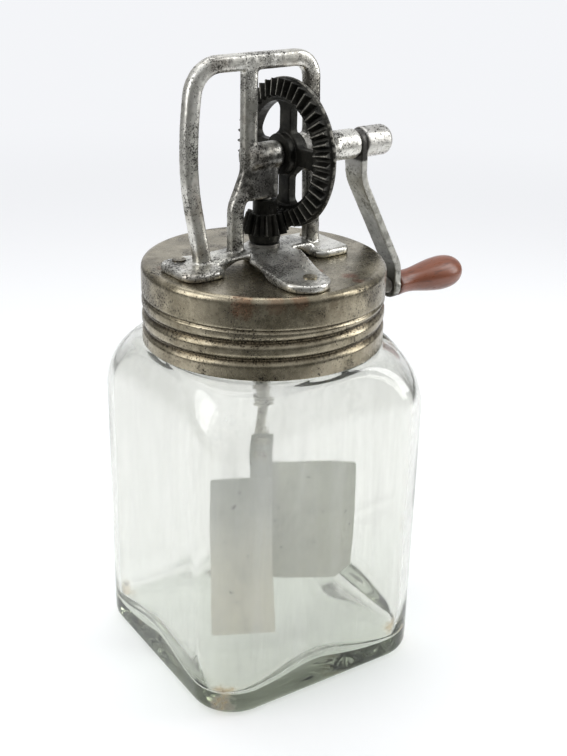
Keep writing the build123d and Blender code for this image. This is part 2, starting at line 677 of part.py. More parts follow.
bush_bore = SPINDLE_RADIUS + RUNNING
spindle_bush = turned([
    (bush_bore, above_lid(BASE_TOP + BUSH_FLANGE)), (BUSH_FLANGE_RADIUS, above_lid(BASE_TOP + BUSH_FLANGE)),
    (BUSH_FLANGE_RADIUS, above_lid(BASE_TOP)), (BUSH_RADIUS, above_lid(BASE_TOP)),
    (BUSH_RADIUS, LIP), (BUSH_FLANGE_RADIUS, LIP), (BUSH_FLANGE_RADIUS, LIP - BUSH_FLANGE),
    (BUSH_RADIUS, LIP - BUSH_FLANGE), (BUSH_RADIUS, above_lid(-BUSH_BELOW_LID)),
    (bush_bore, above_lid(-BUSH_BELOW_LID)),
])
save(spindle_bush, "spindle_bush")

with BuildPart() as gear_shaft:
    with BuildSketch(SHAFT_PLANE.offset(AXLE_SOCKET_END + SEAT_GAP)):
        Circle(AXLE_RADIUS)
    extrude(amount=HUB_START + SHAFT_IN_HUB - AXLE_SOCKET_END - SEAT_GAP)
    add(gear_pin.part, mode=Mode.SUBTRACT)
save(gear_shaft, "gear_shaft")

dasher_spindle = turned([
    (0, above_lid(SPINDLE_TOP)), (SPINDLE_RADIUS, above_lid(SPINDLE_TOP)),
    (SPINDLE_RADIUS, above_floor(ROD_TOP)), (0, above_floor(ROD_TOP)),
])
with BuildPart() as dasher_spindle_bored:
    add(dasher_spindle.part)
    add(pinion_pin.part, mode=Mode.SUBTRACT)
save(dasher_spindle_bored, "dasher_spindle")

sleeve_corners = [(SPINDLE_RADIUS, above_floor(SLEEVE_TOP)), (SLEEVE_RADIUS, above_floor(SLEEVE_TOP))]
for share in (0.3, 0.7):
    groove = above_floor(SLEEVE_TOP - SLEEVE_LENGTH * share)
    sleeve_corners += [
        (SLEEVE_RADIUS, groove + 2 * SLEEVE_GROOVE), (SLEEVE_RADIUS - SLEEVE_GROOVE, groove + SLEEVE_GROOVE),
        (SLEEVE_RADIUS - SLEEVE_GROOVE, groove - SLEEVE_GROOVE), (SLEEVE_RADIUS, groove - 2 * SLEEVE_GROOVE),
    ]
sleeve_corners += [
    (SLEEVE_RADIUS, above_floor(SLEEVE_TOP - SLEEVE_LENGTH)),
    (ROD_RADIUS, above_floor(SLEEVE_TOP - SLEEVE_LENGTH)),
    (ROD_RADIUS, above_floor(ROD_TOP)), (SPINDLE_RADIUS, above_floor(ROD_TOP)),
]
coupling_sleeve = turned(sleeve_corners)
save(coupling_sleeve, "coupling_sleeve")


# ================================================================ crank
arm_x = HUB_START + ARM_THICK / 2
foot_x = arm_x + ARM_OFFSET
beyond = 2 * ARM_FOOT_RADIUS
with BuildPart() as crank_hub:
    with BuildSketch(SHAFT_PLANE.offset(HUB_START + CRANK_NECK)):
        Circle(CRANK_HUB_RADIUS)
    extrude(amount=CRANK_HUB_LENGTH - CRANK_NECK)
    fillet(crank_hub.edges().group_by(Axis.X)[-1], CRANK_HUB_ROUND)
with BuildPart() as crank_arm:
    with BuildLine(Plane.XZ) as arm_path:
        FilletPolyline(
            (arm_x, AXLE_Z + beyond), (arm_x, AXLE_Z - ARM_KNEE), (foot_x, AXLE_Z - ARM_ANKLE),
            (foot_x, HANDLE_Z - beyond), radius=list(ARM_BENDS),
        )
    with BuildSketch(Plane((arm_x, 0, AXLE_Z + beyond), x_dir=(1, 0, 0), z_dir=(0, 0, -1))):
        Rectangle(ARM_THICK, 2 * beyond)
    sweep(path=arm_path.line)
    with BuildSketch(Plane.YZ):
        with Locations((0, AXLE_Z)):
            Circle(ARM_TOP_WIDTH / 2)
        with Locations((0, HANDLE_Z)):
            Circle(ARM_FOOT_RADIUS)
        with BuildLine():
            Polyline(
                (-ARM_TOP_WIDTH / 2, AXLE_Z), (ARM_TOP_WIDTH / 2, AXLE_Z),
                (ARM_FOOT_WIDTH / 2, HANDLE_Z), (-ARM_FOOT_WIDTH / 2, HANDLE_Z), close=True,
            )
        make_face()
    extrude(amount=foot_x + beyond, mode=Mode.INTERSECT)
    add(crank_hub.part)
    with BuildSketch(SHAFT_PLANE.offset(HUB_START)):
        Circle(AXLE_RADIUS)
    extrude(amount=SHAFT_IN_HUB, mode=Mode.SUBTRACT)
    with BuildSketch(Plane.YZ.offset(foot_x - ARM_THICK)):
        with Locations((0, HANDLE_Z)):
            Circle(GRIP_PIN_RADIUS)
    extrude(amount=2 * ARM_THICK, mode=Mode.SUBTRACT)
save(crank_arm, "crank_arm")

arm_inner = foot_x - ARM_THICK / 2
grip_start = foot_x + ARM_THICK / 2 + SEAT_GAP
with BuildPart() as grip:
    with BuildSketch(Plane.XZ):
        with BuildLine():
            Line((grip_start, HANDLE_Z), (grip_start, HANDLE_Z + GRIP_FLARE_RADIUS))
            Spline(
                (grip_start, HANDLE_Z + GRIP_FLARE_RADIUS),
                (grip_start + 0.17 * GRIP_LENGTH, HANDLE_Z + GRIP_NECK_RADIUS),
                (grip_start + GRIP_BELLY_AT * GRIP_LENGTH, HANDLE_Z + GRIP_BELLY_RADIUS),
                (grip_start + GRIP_LENGTH, HANDLE_Z),
                tangents=((1, -0.25), (0, -1)),
            )
            Line((grip_start + GRIP_LENGTH, HANDLE_Z), (grip_start, HANDLE_Z))
        make_face()
    revolve(axis=Axis((0, 0, HANDLE_Z), (1, 0, 0)))
    with BuildSketch(Plane.YZ.offset(grip_start)):
        with Locations((0, HANDLE_Z)):
            Circle(GRIP_PIN_RADIUS + RUNNING)
    extrude(amount=GRIP_BORE_DEPTH, mode=Mode.SUBTRACT)
save(grip, "grip")

with BuildPart() as grip_pin:
    with BuildSketch(Plane.YZ.offset(arm_inner - GRIP_PIN_HEAD)):
        with Locations((0, HANDLE_Z)):
            Circle(GRIP_PIN_HEAD_RADIUS)
    extrude(amount=GRIP_PIN_HEAD)
    fillet(grip_pin.edges().group_by(Axis.X)[0], GRIP_PIN_HEAD * 0.7)
    with BuildSketch(Plane.YZ.offset(arm_inner)):
        with Locations((0, HANDLE_Z)):
            Circle(GRIP_PIN_RADIUS)
    extrude(amount=grip_start + GRIP_BORE_DEPTH - SEAT_GAP - arm_inner)
save(grip_pin, "grip_pin")


# ================================================================ dasher
with BuildPart() as right_sheet:
    with BuildSketch(Plane.XZ):
        with BuildLine():
            FilletPolyline(
                (-ROD_RADIUS, above_floor(RIGHT_BLADE_TOP)),
                (RIGHT_BLADE_REACH, above_floor(RIGHT_BLADE_TOP)),
                (RIGHT_BLADE_REACH, above_floor(RIGHT_BLADE_END) + 2 * BLADE_CORNER),
                (RIGHT_BLADE_REACH - 2 * BLADE_CORNER, above_floor(RIGHT_BLADE_END)),
                (-ROD_RADIUS, above_floor(RIGHT_BLADE_END)),
                close=True,
                radius=BLADE_CORNER / 3,
            )
        make_face()
    extrude(amount=BLADE_SHEET / 2, both=True)
with BuildPart() as blade_right:
    add(right_sheet.part, rotation=(0, 0, RIGHT_BLADE_DIRECTION))
save(blade_right, "blade_right")

tang_back = ROD_RADIUS - BLADE_SHEET * 0.8
tang_front = tang_back + BLADE_SHEET
blade_inner = -TANG_WIDTH / 2
blade_outer = blade_inner + LEFT_BLADE_WIDTH
lean_plane = Plane(
    origin=(0, tang_back + BLADE_SHEET / 2, above_floor(LEFT_BLADE_TOP)),
    x_dir=(1, 0, 0),
    z_dir=(0, cos(radians(LEFT_BLADE_LEAN)), sin(radians(LEFT_BLADE_LEAN))),
)
with BuildPart() as tang_rivets:
    with BuildSketch(Plane.XZ.offset(-tang_front)):
        with Locations(*[(0, above_floor(height)) for height in TANG_RIVETS]):
            Circle(2 * TANG_RIVET_RADIUS)
    extrude(amount=-TANG_RIVET_RADIUS)
    with BuildSketch(Plane.XZ.offset(-tang_front)):
        with Locations(*[(0, above_floor(height)) for height in TANG_RIVETS]):
            Circle(TANG_RIVET_RADIUS)
    extrude(amount=tang_front + ROD_RADIUS)
with BuildPart() as left_sheet:
    with BuildSketch(Plane.XZ.offset(-tang_back)):
        with Locations((0, above_floor((TANG_TOP + LEFT_BLADE_TOP) / 2))):
            Rectangle(TANG_WIDTH, TANG_TOP - LEFT_BLADE_TOP)
    extrude(amount=-BLADE_SHEET)
    with BuildSketch(lean_plane):
        with BuildLine():
            FilletPolyline(
                (blade_inner, 0), (blade_outer, 0), (blade_outer, LEFT_BLADE_HEIGHT),
                (blade_inner, LEFT_BLADE_HEIGHT), close=True, radius=BLADE_CORNER / 3,
            )
        make_face()
    extrude(amount=BLADE_SHEET / 2, both=True)
    add(tang_rivets.part, mode=Mode.SUBTRACT)
with BuildPart() as blade_left:
    add(left_sheet.part, rotation=(0, 0, LEFT_BLADE_DIRECTION))
save(blade_left, "blade_left")
with BuildPart() as blade_rivets:
    add(tang_rivets.part, rotation=(0, 0, LEFT_BLADE_DIRECTION))
save(blade_rivets, "blade_rivets")

with BuildPart() as dasher_rod:
    with BuildSketch(Plane.XY.offset(above_floor(ROD_END))):
        Circle(ROD_RADIUS)
    extrude(amount=ROD_TOP - ROD_END)
    add(blade_right.part, mode=Mode.SUBTRACT)
    add(blade_left.part, mode=Mode.SUBTRACT)
    add(blade_rivets.part, mode=Mode.SUBTRACT)
save(dasher_rod, "dasher_rod")
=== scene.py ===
import math

import bmesh
import bpy
from mathutils import Matrix, Vector


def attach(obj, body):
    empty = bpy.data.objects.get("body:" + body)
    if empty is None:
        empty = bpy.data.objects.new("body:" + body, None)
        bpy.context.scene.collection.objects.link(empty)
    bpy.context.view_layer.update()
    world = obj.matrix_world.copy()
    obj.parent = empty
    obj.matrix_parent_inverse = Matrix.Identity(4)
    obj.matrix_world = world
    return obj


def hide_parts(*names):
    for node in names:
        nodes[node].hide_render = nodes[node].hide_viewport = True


# The scene is in metres, in the CAD part's frame: +Z up, +X along the crank shaft, origin under the
# jar. Lengths named below are in millimetres and are scaled by MM where a mesh or a node takes them.
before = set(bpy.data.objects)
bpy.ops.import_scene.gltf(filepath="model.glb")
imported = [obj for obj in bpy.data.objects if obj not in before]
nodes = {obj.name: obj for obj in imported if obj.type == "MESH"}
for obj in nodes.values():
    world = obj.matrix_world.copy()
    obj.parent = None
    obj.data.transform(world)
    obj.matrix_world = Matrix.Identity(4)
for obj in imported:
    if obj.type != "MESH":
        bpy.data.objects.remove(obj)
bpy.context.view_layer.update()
MM = 0.001

# ---------------------------------------------------------------- sizes shared with the CAD part
LID_TOP = 166.7
LIP = 165.8
AXLE_Z = 206.3
HANDLE_Z = 144.0
JAR_HALF = 50.6
JAR_CORNER = 18.1
JAR_TURN = math.radians(-3.5)
JAR_WALL = 3.4
JAR_FLOOR = 6.5
SHOULDER_START = 110.0
SHOULDER_TOP = 134.0
SHOULDER_SIDE_IN = 5.2
SHOULDER_CORNER_IN = 13.0
NECK_RADIUS = 42.8
NECK_RING_RADIUS = 45.4
NECK_BORE = 39.7
LID_RADIUS = 47.0
LID_SHEET = 0.9
LID_EDGE = 2.6
LID_HEIGHT = 30.9
THREAD_PITCH = 6.7
THREAD_DEPTH = 1.25
THREAD_START = -28.6      # height of the groove under the lid's top, in the direction THREAD_FROM
THREAD_FROM = math.radians(-36.0)
CREASE = -12.3            # height of the pressed line round the lid's back
NECK_THREAD_START = -13.6     # height of the glass thread under the lip
NECK_THREAD_STAND = 1.3
NECK_THREAD_WIDTH = 1.5
GEAR_RATIO = 42 / 12
GRIP_START = 67.8
GRIP_LENGTH = 38.5

# ---------------------------------------------------------------- how finely the skins are drawn
ROUND_COUNT = 288
GRIP_COUNT = 64


# ================================================================ mesh helpers
def grid_mesh(name, rows, body, closed=True):
    """A surface from rows of points, all of one length, joined round; a row of one point is a pole."""
    vertices = []
    starts = []
    for row in rows:
        starts.append(len(vertices))
        vertices.extend(row)
    faces = []
    for upper, lower in zip(range(len(rows) - 1), range(1, len(rows))):
        a, b = rows[upper], rows[lower]
        count = max(len(a), len(b))
        for i in range(count):
            j = (i + 1) % count
            if len(a) == 1:
                faces.append((starts[upper], starts[lower] + i, starts[lower] + j))
            elif len(b) == 1:
                faces.append((starts[upper] + i, starts[lower], starts[upper] + j))
            else:
                faces.append((starts[upper] + i, starts[lower] + i,
                              starts[lower] + j, starts[upper] + j))
    if closed:
        for i in range(len(rows[0])):
            j = (i + 1) % len(rows[0])
            last = starts[-1]
            faces.append((last + i, i, j, last + j))
    mesh = bpy.data.meshes.new(name)
    mesh.from_pydata([tuple(c * MM for c in v) for v in vertices], [], faces)
    mesh.validate()
    shape = bmesh.new()
    shape.from_mesh(mesh)
    bmesh.ops.recalc_face_normals(shape, faces=shape.faces)
    shape.to_mesh(mesh)
    shape.free()
    mesh.polygons.foreach_set("use_smooth", [True] * len(mesh.polygons))
    piece = bpy.data.objects.new(name, mesh)
    bpy.context.scene.collection.objects.link(piece)
    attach(piece, body)
    return piece


def cast_copy(node, name, body, voxel, rounds, dents=0.0, grain=2.0, grow=0.0):
    """A rounded copy of a CAD node, with cast blends and slightly uneven skin, that stands for it."""
    source = nodes[node]
    work = bpy.data.objects.new(name, source.data.copy())
    bpy.context.scene.collection.objects.link(work)
    remesh = work.modifiers.new("remesh", "REMESH")
    remesh.mode = "VOXEL"
    remesh.voxel_size = voxel * MM
    smooth = work.modifiers.new("smooth", "SMOOTH")
    smooth.factor = 0.5
    smooth.iterations = rounds
    if grow:
        swell = work.modifiers.new("grow", "DISPLACE")
        swell.strength = grow * MM
        swell.mid_level = 0.0
    if dents:
        clouds = bpy.data.textures.new(name + "_dents", "CLOUDS")
        clouds.noise_scale = grain * MM
        displace = work.modifiers.new("dents", "DISPLACE")
        displace.texture = clouds
        displace.strength = dents * MM
        displace.mid_level = 0.5
    bpy.context.view_layer.update()
    graph = bpy.context.evaluated_depsgraph_get()
    mesh = bpy.data.meshes.new_from_object(work.evaluated_get(graph))
    bpy.data.objects.remove(work)
    mesh.name = name
    mesh.polygons.foreach_set("use_smooth", [True] * len(mesh.polygons))
    piece = bpy.data.objects.new(name, mesh)
    bpy.context.scene.collection.objects.link(piece)
    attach(piece, body)
    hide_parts(node)
    return piece


def smoothstep(low, high, x):
    t = min(1.0, max(0.0, (x - low) / (high - low)))
    return t * t * (3 - 2 * t)


# ================================================================ material helpers
class Paint:
    """Builds one material's nodes. Coordinates are the object's own, in metres."""

    def __init__(self, name):
        self.material = bpy.data.materials.new(name)
        self.material.use_nodes = True
        self.tree = self.material.node_tree
        self.shader = self.tree.nodes["Principled BSDF"]
        self.place = self.tree.nodes.new("ShaderNodeTexCoord").outputs["Object"]

    def put(self, kind, settings=None, **inputs):
        node = self.tree.nodes.new(kind)
        for key, value in (settings or {}).items():
            setattr(node, key, value)
        for key, value in inputs.items():
            self.feed(node.inputs[int(key[1:]) if key[0] == "_" else key], value)
        return node

    def feed(self, socket, value):
        if isinstance(value, bpy.types.NodeSocket):
            self.tree.links.new(value, socket)
        elif isinstance(value, (tuple, list)) and len(value) == 3 and socket.type == "RGBA":
            socket.default_value = (*value, 1.0)
        else:
            socket.default_value = value

    def set(self, name, value):
        self.feed(self.shader.inputs[name], value)

    def stretched(self, x, y, z):
        return self.put("ShaderNodeMapping", Vector=self.place, Scale=(x, y, z)).outputs[0]

    def noise(self, scale, detail=4.0, rough=0.6, place=None):
        return self.put("ShaderNodeTexNoise", Vector=place or self.place, Scale=scale, Detail=detail,
                        Roughness=rough).outputs[0]

    def maths(self, operation, a, b=0.5, clamp=False):
        settings = {"operation": operation, "use_clamp": clamp}
        return self.put("ShaderNodeMath", settings, _0=a, _1=b).outputs[0]

    def span(self, source, low, high, to_low=0.0, to_high=1.0):
        """source mapped from low..high to to_low..to_high with soft ends."""
        node = self.put("ShaderNodeMapRange", {"interpolation_type": "SMOOTHSTEP"},
                        _0=source, _1=low, _2=high, _3=to_low, _4=to_high)
        return node.outputs[0]

    def blend(self, factor, a, b):
        node = self.put("ShaderNodeMix", {"data_type": "RGBA"})
        self.feed(node.inputs[0], factor)
        self.feed(node.inputs[6], a)
        self.feed(node.inputs[7], b)
        return node.outputs[2]

    def length(self, vector):
        node = self.put("ShaderNodeVectorMath", {"operation": "LENGTH"}, _0=vector)
        return node.outputs["Value"]

    def strongest(self, shares):
        """The largest of several shares at each place."""
        most = shares[0]
        for share in shares[1:]:
            most = self.maths("MAXIMUM", most, share)
        return most

    def near(self, point, radius, ragged):
        """1 at a point given in millimetres, falling to 0 at this radius, with a ragged edge."""
        offset = self.put("ShaderNodeVectorMath", {"operation": "DISTANCE"}, _0=self.place,
                          _1=tuple(c * MM for c in point)).outputs["Value"]
        uneven = self.maths("MULTIPLY", self.maths("SUBTRACT", ragged, 0.5), radius * MM * 1.6)
        offset = self.maths("ADD", offset, uneven)
        return self.span(offset, radius * MM, radius * MM * 0.35)

    def part(self, axis):
        return self.put("ShaderNodeSeparateXYZ", Vector=self.place).outputs["XYZ".index(axis)]

    def bump(self, height, strength, distance, below=None):
        node = self.put("ShaderNodeBump", Height=height, Strength=strength, Distance=distance * MM)
        if below is not None:
            self.feed(node.inputs["Normal"], below)
        return node.outputs[0]


def dress(names, material):
    """Gives pieces or CAD nodes their material."""
    for item in names:
        piece = nodes[item] if isinstance(item, str) else item
        piece.data.materials.clear()
        piece.data.materials.append(material)


PATINA_SHARE = 0.55
PIT_SHARE = 0.88
PIT_COLOUR = (0.025, 0.022, 0.02)


def aged_metal(name, light, dark, pit_share=0.60, rough=(0.26, 0.5),
               stain=(0.20, 0.15, 0.10), stain_share=0.35,
               spots=(), spot_colour=(0.22, 0.10, 0.05), metal=0.92, pit_scale=1100.0,
               patina_colour=(0.10, 0.095, 0.08), hollows=None):
    """Plated or bare metal with clouded tarnish, black pits and spots of rust, or of greasy dirt with
    painted shade.
    """
    paint = Paint(name)
    cloud = paint.noise(70.0, 6.0, 0.65)
    fine = paint.noise(420.0, 5.0, 0.7)
    region = paint.noise(150.0, 3.0, 0.6)
    colour = paint.blend(paint.span(cloud, 0.35, 0.68), light, dark)
    stained = paint.maths("MULTIPLY", paint.span(paint.noise(38.0, 5.0, 0.7), 0.48, 0.70), stain_share)
    colour = paint.blend(stained, colour, stain)
    patches = paint.noise(55.0, 4.0, 0.65)
    patina = paint.span(paint.maths("ADD", patches, paint.maths("MULTIPLY", region, 0.3)), 0.66, 0.82)
    colour = paint.blend(paint.maths("MULTIPLY", patina, PATINA_SHARE), colour, patina_colour)
    pit_noise = paint.noise(pit_scale, 3.0, 0.6)
    pits = paint.span(paint.maths("ADD", pit_noise, paint.maths("MULTIPLY", patches, 0.7)),
                      pit_share + 0.36, pit_share + 0.40)
    colour = paint.blend(paint.maths("MULTIPLY", pits, PIT_SHARE), colour, PIT_COLOUR)
    if hollows is not None:
        colour = hollows(paint, colour, fine)
    if spots:
        spotted = paint.strongest([
            paint.maths("MULTIPLY", paint.near(point, radius, fine), strength)
            for point, radius, strength in spots
        ])
        colour = paint.blend(spotted, colour, spot_colour)
    paint.set("Base Color", colour)
    paint.set("Metallic", metal)
    gloss = paint.span(fine, 0.3, 0.7, rough[0], rough[1])
    paint.set("Roughness", paint.maths("ADD", gloss, paint.maths("MULTIPLY", pits, 0.3), True))
    skin = paint.bump(fine, 0.35, 0.12)
    paint.set("Normal", paint.bump(paint.maths("SUBTRACT", 1.0, pits), 0.8, 0.12, skin))
    return paint


# ================================================================ jar
def square_radius(angle, half, corner):
    """Distance from the centre to a rounded square's edge in this direction."""
    a = abs(math.atan2(math.sin(angle), math.cos(angle)))
    a = min(a, math.pi - a)
    a = min(a, math.pi / 2 - a)
    flat = half - corner
    if half * math.tan(a) <= flat:
        return half / math.cos(a)
    along = flat * (math.cos(a) + math.sin(a))
    return along + math.sqrt(max(0.0, along * along - 2 * flat * flat + corner * corner))


def jar_radius(angle, height, inset):
    """Outer or inner skin of the glass below the neck."""
    rise = max(0.0, height - SHOULDER_START)
    full = SHOULDER_TOP - SHOULDER_START
    side_arc = (full**2 + SHOULDER_SIDE_IN**2) / (2 * SHOULDER_SIDE_IN)
    corner_arc = (full**2 + SHOULDER_CORNER_IN**2) / (2 * SHOULDER_CORNER_IN)
    half = JAR_HALF - inset - (side_arc - math.sqrt(side_arc**2 - rise**2))
    diagonal = math.sqrt(2) * (JAR_HALF - JAR_CORNER) + JAR_CORNER - inset
    diagonal -= corner_arc - math.sqrt(corner_arc**2 - rise**2)
    corner = (half * math.sqrt(2) - diagonal) / (math.sqrt(2) - 1)
    return square_radius(angle, half, corner)


def build_jar():
    angles = [2 * math.pi * i / ROUND_COUNT for i in range(ROUND_COUNT)]

    def ring(height, radius_of):
        return [
            (radius_of(t) * math.cos(t + JAR_TURN), radius_of(t) * math.sin(t + JAR_TURN), height)
            for t in angles
        ]

    def swell(t, height):
        """Slow unevenness of pressed glass on the inside."""
        return (0.16 * math.sin(3 * t + 0.05 * height) + 0.10 * math.sin(5 * t - 0.09 * height + 1.3)
                + 0.03 * math.sin(11 * t + 0.13 * height))

    rows = []
    heel = 4.0
    for share in (0.0, 0.3, 0.6, 0.8, 0.88):
        lift = 1.3 * (1 - smoothstep(0.6, 0.9, share))
        if share == 0.0:
            rows.append([(0, 0, lift)])
        else:
            rows.append(ring(lift, lambda t, s=share: s * jar_radius(t, 0, heel)))
    for step in range(7):
        bend = math.pi / 2 * step / 6
        rows.append(ring(heel * (1 - math.cos(bend)),
                         lambda t, b=bend: jar_radius(t, 0, heel * (1 - math.sin(b)))))
    for height in range(8, 110, 6):
        rows.append(ring(height, lambda t, h=height: jar_radius(t, h, 0)))
    for step in range(13):
        height = SHOULDER_START + (SHOULDER_TOP - SHOULDER_START) * step / 12
        rows.append(ring(height, lambda t, h=height: jar_radius(t, h, 0)))

    def toward_ring(share, radius):
        return lambda t: radius + (jar_radius(t, SHOULDER_TOP, 0) - radius) * (1 - share)

    rows.append(ring(SHOULDER_TOP + 0.5, toward_ring(0.55, NECK_RING_RADIUS)))
    rows.append(ring(SHOULDER_TOP + 0.6, toward_ring(1.0, NECK_RING_RADIUS)))
    for height, radius in ((134.7, 45.3), (135.0, 44.6), (135.2, NECK_RADIUS)):
        rows.append(ring(height, lambda t, r=radius: r))

    def neck(t, height):
        turn = ((t + JAR_TURN) / (2 * math.pi)) % 1.0
        middle = LIP + NECK_THREAD_START + THREAD_PITCH * turn
        bead = math.exp(-((height - middle) / NECK_THREAD_WIDTH) ** 2)
        return NECK_RADIUS + NECK_THREAD_STAND * bead

    height = 136.0
    while height < LIP - 1.4:
        rows.append(ring(height, lambda t, h=height: neck(t, h)))
        height += 0.9
    for height, radius in ((LIP - 0.9, 42.6), (LIP - 0.25, 42.1), (LIP, 41.4), (LIP, 40.8),
                           (LIP - 0.3, 40.1), (LIP - 1.0, NECK_BORE)):
        rows.append(ring(height, lambda t, r=radius: r))
    for height in (160.0, 150.0, 140.0, 134.0):
        rows.append(ring(height, lambda t, h=height: NECK_BORE + 0.25 * math.sin(2 * t + h)))
    full = SHOULDER_TOP - SHOULDER_START
    under_neck = SHOULDER_TOP - JAR_WALL
    rows.append(ring(under_neck + 0.9, lambda t: NECK_BORE + 0.1))

    def under_shoulder(share):
        return lambda t: NECK_BORE + (jar_radius(t, SHOULDER_TOP, JAR_WALL) - NECK_BORE) * share

    for share in (0.15, 0.5, 0.9):
        rows.append(ring(under_neck + 0.6 * (1 - share) ** 2, under_shoulder(share)))
    for step in range(11, -1, -1):
        rise = full * step / 12
        rows.append(ring(SHOULDER_START + rise - JAR_WALL * rise / full,
                         lambda t, r=rise: jar_radius(t, SHOULDER_START + r, JAR_WALL)
                         + swell(t, SHOULDER_START) * (1 - r / full)))
    for height in range(102, 20, -6):
        rows.append(ring(height,
                         lambda t, h=height: jar_radius(t, 0, JAR_WALL) + swell(t, h)))

    def bowl_width(t):
        """How far the rounding inside the base reaches in: wide along the sides, tight in the corners."""
        side = 0.5 + 0.5 * math.cos(4 * t)
        return 7.0 + 13.0 * side**1.5 + 1.5 * math.sin(2 * t + 0.6)

    def bowl_height(t):
        side = 0.5 + 0.5 * math.cos(4 * t + 0.5)
        return 4.5 + 9.0 * side + 1.2 * math.sin(3 * t)

    for step in range(1, 15):
        bend = math.pi / 2 * step / 14
        rows.append([
            (radius * math.cos(t + JAR_TURN), radius * math.sin(t + JAR_TURN),
             JAR_FLOOR + bowl_height(t) * (1 - math.sin(bend)))
            for t in angles
            for radius in [jar_radius(t, 0, JAR_WALL) - bowl_width(t) * (1 - math.cos(bend))
                           + swell(t, 12.0) * math.cos(bend)]
        ])
    for share in (0.85, 0.6, 0.35, 0.15):
        rows.append([
            (share * radius * math.cos(t + JAR_TURN), share * radius * math.sin(t + JAR_TURN),
             JAR_FLOOR + 0.35 * math.sin(3 * t + 4 * share) * share)
            for t in angles
            for radius in [jar_radius(t, 0, JAR_WALL) - bowl_width(t)]
        ])
    rows.append([(0, 0, JAR_FLOOR)])
    piece = grid_mesh("glass_jar_skin", rows, "jar", closed=False)
    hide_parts("glass_jar")
    return piece


# ================================================================ lid
def lid_radius(angle, height):
    """Outer radius of the lid's wall at this height over the lid's top."""
    turn = ((angle - THREAD_FROM) / (2 * math.pi)) % 1.0
    groove = THREAD_START + THREAD_PITCH * turn
    wave = 0.5 + 0.5 * math.cos(2 * math.pi * (height - groove) / THREAD_PITCH)
    fade = smoothstep(-30.4, -29.2, height) * smoothstep(CREASE + 0.2, CREASE - 1.4, height)
    first = height < groove - THREAD_PITCH / 2
    last = 1.0
    if first:
        last = smoothstep(groove - THREAD_PITCH / 2 - 0.1, groove - THREAD_PITCH / 2 + 0.1, height)
    dip = THREAD_DEPTH * wave**2.4 * fade * last
    level = 0.5 + 0.5 * math.cos(angle - math.radians(190.0))
    crease = 0.85 * math.exp(-((height - CREASE) / 0.55) ** 2) * smoothstep(0.1, 0.55, level)
    return LID_RADIUS - max(dip, crease)


def build_lid():
    angles = [2 * math.pi * i / ROUND_COUNT for i in range(ROUND_COUNT)]

    def ring(height, radius_of):
        return [
            (radius_of(t) * math.cos(t), radius_of(t) * math.sin(t), LID_TOP + height)
            for t in angles
        ]

    rows = [[(0, 0, LID_TOP)]]
    for radius in (6, 12, 18, 24, 30, 36, 41, 43.5):
        rows.append([
            (radius * math.cos(t), radius * math.sin(t),
             LID_TOP - 0.04 - 0.04 * math.sin(3 * t + radius * 0.2) * smoothstep(43, 20, radius))
            for t in angles
        ])
    for step in range(9):
        bend = math.pi / 2 * step / 8
        rows.append(ring(-LID_EDGE * (1 - math.cos(bend)),
                         lambda t, b=bend: LID_RADIUS - LID_EDGE * (1 - math.sin(b))))
    heights = [-LID_EDGE - 0.8 * i for i in range(1, 11)]
    heights += [-11.0 - 0.28 * i for i in range(0, 70)]
    heights = [h for h in heights if h > -30.4] + [-30.5, -30.8]
    for height in heights:
        rows.append(ring(height, lambda t, h=height: lid_radius(t, h)))
    rows.append(ring(-LID_HEIGHT, lambda t: LID_RADIUS - 0.25))
    rows.append(ring(-LID_HEIGHT, lambda t: LID_RADIUS - LID_SHEET + 0.15))
    for height in reversed(heights[::2]):
        rows.append(ring(height, lambda t, h=height: lid_radius(t, h) - LID_SHEET))
    rows.append(ring(-LID_EDGE, lambda t: LID_RADIUS - LID_SHEET))
    rows.append(ring(-LID_SHEET - 0.5, lambda t: LID_RADIUS - LID_SHEET - 0.5))
    rows.append(ring(-LID_SHEET, lambda t: LID_RADIUS - LID_EDGE))
    rows.append([(0, 0, LID_TOP - LID_SHEET)])
    piece = grid_mesh("screw_lid_skin", rows, "lid", closed=False)
    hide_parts("screw_lid")
    return piece


# ================================================================ grip
def build_grip():
    profile = ((0, 2.2), (0, 4.8), (0.35, 5.25), (1.2, 5.35), (3.4, 5.0), (6.5, 4.8), (10, 5.05),
               (14, 5.75), (18.5, 6.55), (23, 7.2), (27.7, 7.45), (31.5, 7.0), (34.3, 5.95), (36.4, 4.4),
               (37.8, 2.6), (38.4, 1.1))
    rows = [[(GRIP_START, 0, HANDLE_Z)]]
    for along, radius in profile:
        rows.append([
            (GRIP_START + along, radius * math.cos(2 * math.pi * i / GRIP_COUNT),
             HANDLE_Z + radius * math.sin(2 * math.pi * i / GRIP_COUNT))
            for i in range(GRIP_COUNT)
        ])
    rows.append([(GRIP_START + GRIP_LENGTH - 0.02, 0, HANDLE_Z)])
    piece = grid_mesh("wooden_grip", rows, "handle", closed=False)
    round_off = piece.modifiers.new("round", "SUBSURF")
    round_off.levels = 2
    round_off.render_levels = 2
    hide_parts("grip")
    return piece


jar = build_jar()
lid = build_lid()
grip = build_grip()
cast_frame = cast_copy("gear_frame", "cast_frame", "lid", 0.42, 34, 0.12, 1.6, 0.10)
cast_gear = cast_copy("drive_gear", "cast_gear", "crank", 0.24, 2, 0.05, 1.0)
cast_pinion = cast_copy("pinion_gear", "cast_pinion", "dasher", 0.22, 2, 0.05, 1.0)
cast_arm = cast_copy("crank_arm", "cast_arm", "crank", 0.30, 12, 0.08, 1.8, 0.03)
